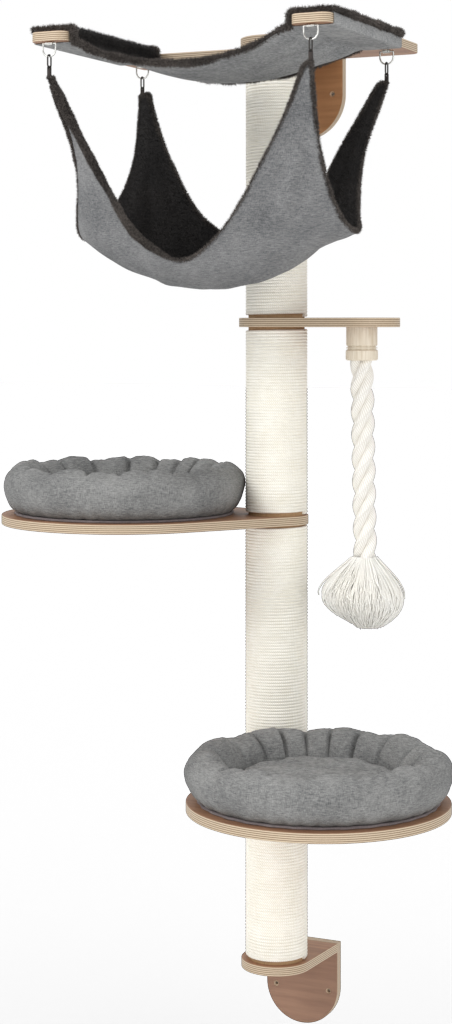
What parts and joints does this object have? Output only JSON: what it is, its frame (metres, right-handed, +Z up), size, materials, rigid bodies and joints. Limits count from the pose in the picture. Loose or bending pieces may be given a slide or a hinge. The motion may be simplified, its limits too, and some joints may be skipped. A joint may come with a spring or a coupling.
{
  "type": "wall mounted cat tree",
  "caption": "Wall mounted cat tree: sisal post on two wall brackets with round beds on platforms, a rope toy and two hammocks under a U frame.",
  "frame": {"origin": "middle of the two wall screw holes of the lower bracket, on the wall face", "axes": "+Z up along the post, -Y out from the wall, +X to the right along the wall as seen from the room"},
  "size_m": [0.9507, 0.6203, 1.9755],
  "materials": {
    "plywood": "oiled birch plywood, brown face veneer, pale layered edge",
    "cardboard_tube": "plain spiral wound tube",
    "sisal_rope": "natural cream sisal, wound tightly",
    "plug_wood": "raw plywood",
    "zinc_steel": "zinc plated steel",
    "ring_steel": "nickel plated wire",
    "hook_black": "black lacquered wire",
    "turned_wood": "pale turned hardwood, satin",
    "cotton_rope": "off-white three strand rope",
    "tassel_yarn": "frayed off-white yarn",
    "hammock_linen": "grey linen-like weave",
    "dark_fur": "dark brown-grey deep pile",
    "loop_webbing": "black woven tape",
    "base_cloth": "purple-grey coarse cloth",
    "bed_linen": "mottled grey linen-like weave"
  },
  "bodies": {
    "post_and_frame": {"bottom_wall_plate": "plywood", "bottom_shelf_plate": "plywood", "top_wall_plate": "plywood", "top_shelf_plate": "plywood", "lower_platform": "plywood", "left_platform": "plywood", "rope_shelf": "plywood", "hammock_frame": "plywood", "post_core_1": "cardboard_tube", "post_core_2": "cardboard_tube", "post_core_3": "cardboard_tube", "post_core_4": "cardboard_tube", "sisal_wrap_1": "sisal_rope", "sisal_wrap_2": "sisal_rope", "sisal_wrap_3": "sisal_rope", "sisal_wrap_4": "sisal_rope", "post_plugs_1": "plug_wood", "post_plugs_2": "plug_wood", "post_plugs_3": "plug_wood", "post_plugs_4": "plug_wood", "bottom_bracket_screws": "zinc_steel", "top_bracket_screws": "zinc_steel", "threaded_inserts": "zinc_steel", "joining_studs": "zinc_steel", "bottom_clamp_washer": "zinc_steel", "bottom_clamp_bolt": "zinc_steel", "top_clamp_washer": "zinc_steel", "top_clamp_bolt": "zinc_steel", "rope_fitting_screw": "zinc_steel", "ring_tab_screws": "zinc_steel", "ring_tab_front_left": "zinc_steel", "ring_tab_front_right": "zinc_steel", "ring_tab_rear_left": "zinc_steel", "ring_tab_rear_right": "zinc_steel", "rope_fitting": "turned_wood", "upper_hammock_cloth": "hammock_linen", "upper_hammock_fur": "dark_fur"},
    "rope_toy": {"rope": "cotton_rope", "tassel": "tassel_yarn"},
    "lower_bed": {"lower_bed_base": "base_cloth", "lower_bed_bolster": "bed_linen"},
    "lower_bed_pad": {"lower_bed_cushion": "bed_linen"},
    "left_bed": {"left_bed_base": "base_cloth", "left_bed_bolster": "bed_linen"},
    "left_bed_pad": {"left_bed_cushion": "bed_linen"},
    "sling": {"lower_hammock_cloth": "hammock_linen", "lower_hammock_fur": "dark_fur", "lower_hammock_loops": "loop_webbing"},
    "link_front_left": {"d_ring_front_left": "ring_steel", "corner_hook_front_left": "hook_black"},
    "link_front_right": {"d_ring_front_right": "ring_steel", "corner_hook_front_right": "hook_black"},
    "link_rear_left": {"d_ring_rear_left": "ring_steel", "corner_hook_rear_left": "hook_black"},
    "link_rear_right": {"d_ring_rear_right": "ring_steel", "corner_hook_rear_right": "hook_black"}
  },
  "joints": [
    {"name": "ring_front_left_swing", "type": "hinge", "parent": "post_and_frame", "child": "link_front_left", "pos_m": [-0.2917, -0.5246, 1.85775], "axis": [1, 0, 0], "range_deg": [-20, 12]},
    {"name": "ring_front_right_swing", "type": "hinge", "parent": "post_and_frame", "child": "link_front_right", "pos_m": [0.2341, -0.5246, 1.85775], "axis": [1, 0, 0], "range_deg": [-20, 12]},
    {"name": "ring_rear_left_swing", "type": "hinge", "parent": "post_and_frame", "child": "link_rear_left", "pos_m": [-0.2917, -0.1546, 1.85775], "axis": [1, 0, 0], "range_deg": [-20, 12]},
    {"name": "ring_rear_right_swing", "type": "hinge", "parent": "post_and_frame", "child": "link_rear_right", "pos_m": [0.2341, -0.1546, 1.85775], "axis": [1, 0, 0], "range_deg": [-20, 12]},
    {"name": "sling_level", "type": "hinge", "parent": "link_front_left", "child": "sling", "pos_m": [-0.2917, -0.5246, 1.819], "axis": [1, 0, 0], "range_deg": [-12, 20]},
    {"name": "rope_toy_swing", "type": "hinge", "parent": "post_and_frame", "child": "rope_toy", "pos_m": [0.1794, -0.1446, 1.253], "axis": [-1, 0, 0], "range_deg": [-6, 35]},
    {"name": "lower_bed_lift", "type": "slide", "parent": "post_and_frame", "child": "lower_bed", "axis": [0, 0, 1], "range_m": [0, 0.12]},
    {"name": "lower_cushion_lift", "type": "slide", "parent": "lower_bed", "child": "lower_bed_pad", "axis": [0, 0, 1], "range_m": [0, 0.1]},
    {"name": "left_bed_lift", "type": "slide", "parent": "post_and_frame", "child": "left_bed", "axis": [0, 0, 1], "range_m": [0, 0.12]},
    {"name": "left_cushion_lift", "type": "slide", "parent": "left_bed", "child": "left_bed_pad", "axis": [0, 0, 1], "range_m": [0, 0.1]}
  ],
  "couplings": [
    {"joint": "ring_front_right_swing", "follows": "ring_front_left_swing", "ratio": 1},
    {"joint": "ring_rear_left_swing", "follows": "ring_front_left_swing", "ratio": 1},
    {"joint": "ring_rear_right_swing", "follows": "ring_front_left_swing", "ratio": 1},
    {"joint": "sling_level", "follows": "ring_front_left_swing", "ratio": -1}
  ]
}
